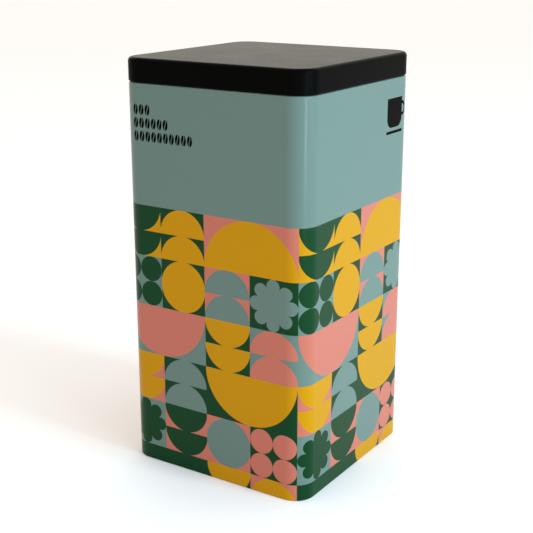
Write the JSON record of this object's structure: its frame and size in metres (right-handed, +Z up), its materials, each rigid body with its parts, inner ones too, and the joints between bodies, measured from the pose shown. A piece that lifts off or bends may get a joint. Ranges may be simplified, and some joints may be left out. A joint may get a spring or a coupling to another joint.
{
  "type": "square coffee tin",
  "caption": "Tall square printed tin with rounded corners, a flush black slip lid and a press-in inner lid with a knob and seal.",
  "frame": {"origin": "centre of the foot ring, on the surface that the tin stands on", "axes": "+Z up along the tin's height, -Y towards the front of the print, +X to the right seen from the front"},
  "size_m": [0.1002, 0.1002, 0.1985],
  "materials": {
    "printed_body": "satin printed lacquer",
    "black_lacquer": "satin lacquer",
    "bare_tinplate": "clear lacquered tinplate",
    "sealing_compound": "matt",
    "silicone": "matt translucent",
    "black_plastic": "semi-gloss"
  },
  "bodies": {
    "tin": {"body_wall": "printed_body", "base_panel": "bare_tinplate", "base_seal_ring": "sealing_compound"},
    "inner_lid_unit": {"inner_lid": "bare_tinplate", "inner_lid_seal": "silicone", "inner_lid_knob": "black_plastic", "knob_rivet": "bare_tinplate"},
    "outer_lid_unit": {"outer_lid": "black_lacquer"}
  },
  "joints": [
    {"name": "inner_lid_lift", "type": "slide", "parent": "tin", "child": "inner_lid_unit", "axis": [0, 0, 1], "range_m": [0, 0.05]},
    {"name": "outer_lid_lift", "type": "slide", "parent": "inner_lid_unit", "child": "outer_lid_unit", "axis": [0, 0, 1], "range_m": [0, 0.05]}
  ]
}
